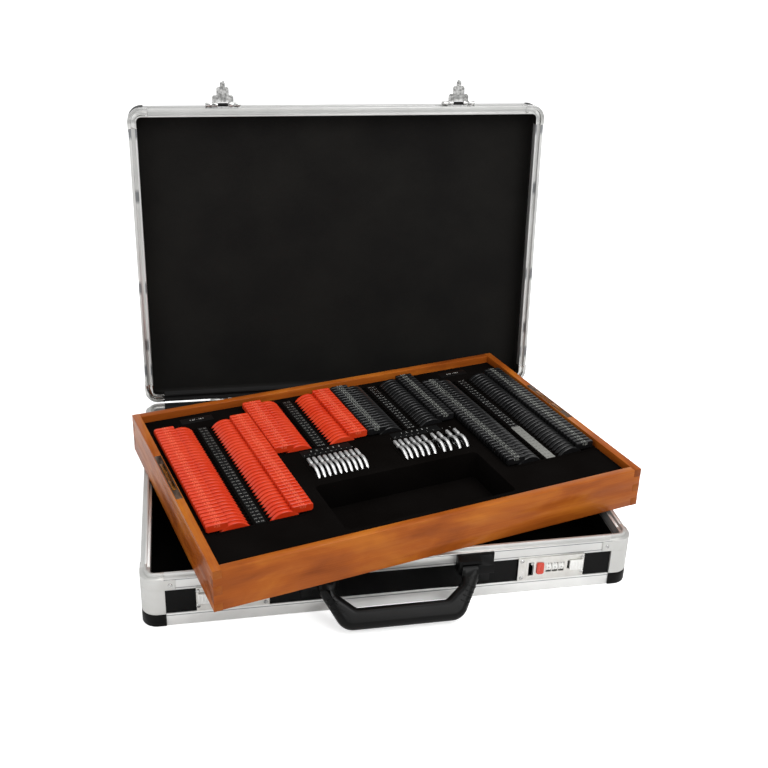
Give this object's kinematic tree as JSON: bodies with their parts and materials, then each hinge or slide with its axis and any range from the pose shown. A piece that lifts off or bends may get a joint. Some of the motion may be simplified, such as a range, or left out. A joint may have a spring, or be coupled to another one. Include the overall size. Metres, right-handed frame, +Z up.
{
  "type": "trial lens case",
  "caption": "Attache case standing open with a wooden tray of ophthalmic trial lenses in red, black and metal rims lying askew across its rim.",
  "frame": {"origin": "centre of the base's underside in plan", "axes": "+X to the right along the case's width, +Y to the back where the lid is hinged, +Z up"},
  "size_m": [0.5704, 0.5084, 0.4814],
  "materials": {
    "rail_aluminium": "satin anodised extrusion",
    "cap_chrome": "bright plated",
    "black_plastic": "fine grained",
    "black_panel": "smooth laminate",
    "dark_lining": "short matte cloth",
    "nickel": "pale nickel",
    "steel_chrome": "bright plated",
    "red_button": "gloss",
    "tray_wood": "lacquered, orange-brown",
    "foam": "matte black flocked foam",
    "card": "printed card",
    "brass": "polished",
    "red_rim": "gloss moulded",
    "black_rim": "gloss moulded",
    "metal_rim": "bright plated",
    "lens_glass": "clear",
    "handle_plastic": "satin moulded"
  },
  "bodies": {
    "base": {"base_upper_rails": "rail_aluminium", "base_lower_rails": "rail_aluminium", "base_side_panels": "black_panel", "base_bottom_panel": "black_panel", "base_lining": "dark_lining", "base_corner_fittings": "cap_chrome", "base_corner_posts": "rail_aluminium", "base_corner_feet": "black_plastic", "case_screws": "steel_chrome", "hinge_base_leaves": "nickel", "pivot_pins": "steel_chrome", "handle_brackets": "handle_plastic", "lock_plates": "nickel", "lock_bodies": "nickel"},
    "lid": {"lid_rim_rails": "rail_aluminium", "lid_edge_rails": "rail_aluminium", "lid_side_panels": "black_panel", "lid_top_panel": "black_panel", "lid_lining": "dark_lining", "lid_corner_caps": "cap_chrome", "lid_corner_guards": "black_plastic", "hinge_lid_leaves": "nickel", "hasp_brackets": "steel_chrome", "hasp_springs": "black_plastic"},
    "right_hasp": {"right_hasp": "steel_chrome"},
    "left_hasp": {"left_hasp": "steel_chrome"},
    "handle": {"handle": "handle_plastic"},
    "tray": {"tray_front_board": "tray_wood", "tray_rear_board": "tray_wood", "tray_left_board": "tray_wood", "tray_right_board": "tray_wood", "tray_bottom": "tray_wood", "foam_insert": "foam", "lens_racks": "foam", "label_cards": "card", "bail_plates": "nickel"},
    "left_bail": {"left_bail": "brass"},
    "right_bail": {"right_bail": "brass"},
    "right_lock_slide": {"right_lock_slide": "steel_chrome"},
    "right_lock_button": {"right_lock_button": "red_button"},
    "right_lock_dial_1": {"right_lock_dial_1": "steel_chrome"},
    "right_lock_dial_2": {"right_lock_dial_2": "steel_chrome"},
    "right_lock_dial_3": {"right_lock_dial_3": "steel_chrome"},
    "left_lock_slide": {"left_lock_slide": "steel_chrome"},
    "left_lock_button": {"left_lock_button": "red_button"},
    "left_lock_dial_1": {"left_lock_dial_1": "steel_chrome"},
    "left_lock_dial_2": {"left_lock_dial_2": "steel_chrome"},
    "left_lock_dial_3": {"left_lock_dial_3": "steel_chrome"},
    "red_long_lenses": {"red_long_rims": "red_rim", "red_long_glasses": "lens_glass"},
    "red_half_lenses": {"red_half_rims": "red_rim", "red_half_glasses": "lens_glass"},
    "black_half_lenses": {"black_half_rims": "black_rim", "black_half_glasses": "lens_glass"},
    "black_long_lenses": {"black_long_rims": "black_rim", "black_long_glasses": "lens_glass"},
    "cylinder_row_lenses": {"cylinder_row_rims": "metal_rim", "cylinder_row_glasses": "lens_glass"},
    "prism_row_lenses": {"prism_row_rims": "metal_rim", "prism_row_glasses": "lens_glass"}
  },
  "joints": [
    {"name": "lid_hinge", "type": "hinge", "parent": "base", "child": "lid", "pos_m": [0, 0.1966, 0.058], "axis": [1, 0, 0], "range_deg": [0, 93.4]},
    {"name": "tray_slide", "type": "slide", "parent": "base", "child": "tray", "axis": [0, -1, 0], "range_m": [0, 0.4705]},
    {"name": "handle_hinge", "type": "hinge", "parent": "base", "child": "handle", "pos_m": [0, -0.205, 0.044], "axis": [-1, 0, 0], "range_deg": [-42, 48]},
    {"name": "left_hasp_hinge", "type": "hinge", "parent": "lid", "child": "left_hasp", "pos_m": [0, 0.22301, 0.45193], "axis": [1, 0, 0], "range_deg": [-45, 90]},
    {"name": "right_hasp_hinge", "type": "hinge", "parent": "lid", "child": "right_hasp", "pos_m": [0, 0.22301, 0.45193], "axis": [1, 0, 0], "range_deg": [-45, 90]},
    {"name": "left_slide_move", "type": "slide", "parent": "base", "child": "left_lock_slide", "axis": [1, 0, 0], "range_m": [0, 0.003]},
    {"name": "left_button_press", "type": "slide", "parent": "base", "child": "left_lock_button", "axis": [0, 1, 0], "range_m": [0, 0.0012], "stiffness_N_per_m": 300},
    {"name": "left_dial_1_turn", "type": "hinge", "parent": "base", "child": "left_lock_dial_1", "pos_m": [-0.1696, -0.1894, 0.0307], "axis": [1, 0, 0], "continuous": true},
    {"name": "left_dial_2_turn", "type": "hinge", "parent": "base", "child": "left_lock_dial_2", "pos_m": [-0.1768, -0.1894, 0.0307], "axis": [1, 0, 0], "continuous": true},
    {"name": "left_dial_3_turn", "type": "hinge", "parent": "base", "child": "left_lock_dial_3", "pos_m": [-0.184, -0.1894, 0.0307], "axis": [1, 0, 0], "continuous": true},
    {"name": "right_slide_move", "type": "slide", "parent": "base", "child": "right_lock_slide", "axis": [-1, 0, 0], "range_m": [0, 0.003]},
    {"name": "right_button_press", "type": "slide", "parent": "base", "child": "right_lock_button", "axis": [0, 1, 0], "range_m": [0, 0.0012], "stiffness_N_per_m": 300},
    {"name": "right_dial_1_turn", "type": "hinge", "parent": "base", "child": "right_lock_dial_1", "pos_m": [0.1696, -0.1894, 0.0307], "axis": [1, 0, 0], "continuous": true},
    {"name": "right_dial_2_turn", "type": "hinge", "parent": "base", "child": "right_lock_dial_2", "pos_m": [0.1768, -0.1894, 0.0307], "axis": [1, 0, 0], "continuous": true},
    {"name": "right_dial_3_turn", "type": "hinge", "parent": "base", "child": "right_lock_dial_3", "pos_m": [0.184, -0.1894, 0.0307], "axis": [1, 0, 0], "continuous": true},
    {"name": "red_long_lift", "type": "slide", "parent": "tray", "child": "red_long_lenses", "axis": [0, 0, 1], "range_m": [0, 0.06]},
    {"name": "red_half_lift", "type": "slide", "parent": "tray", "child": "red_half_lenses", "axis": [0, 0, 1], "range_m": [0, 0.06]},
    {"name": "black_half_lift", "type": "slide", "parent": "tray", "child": "black_half_lenses", "axis": [0, 0, 1], "range_m": [0, 0.06]},
    {"name": "black_long_lift", "type": "slide", "parent": "tray", "child": "black_long_lenses", "axis": [0, 0, 1], "range_m": [0, 0.06]},
    {"name": "cylinder_row_lift", "type": "slide", "parent": "tray", "child": "cylinder_row_lenses", "axis": [0, 0, 1], "range_m": [0, 0.06]},
    {"name": "prism_row_lift", "type": "slide", "parent": "tray", "child": "prism_row_lenses", "axis": [0, 0, 1], "range_m": [0, 0.06]},
    {"name": "left_bail_lift", "type": "slide", "parent": "tray", "child": "left_bail", "axis": [0, 0, 1], "range_m": [0, 0.018]},
    {"name": "right_bail_lift", "type": "slide", "parent": "tray", "child": "right_bail", "axis": [0, 0, 1], "range_m": [0, 0.018]}
  ],
  "couplings": [
    {"joint": "tray_slide", "follows": "lid_hinge", "m_per_rad": 0.28832}
  ]
}
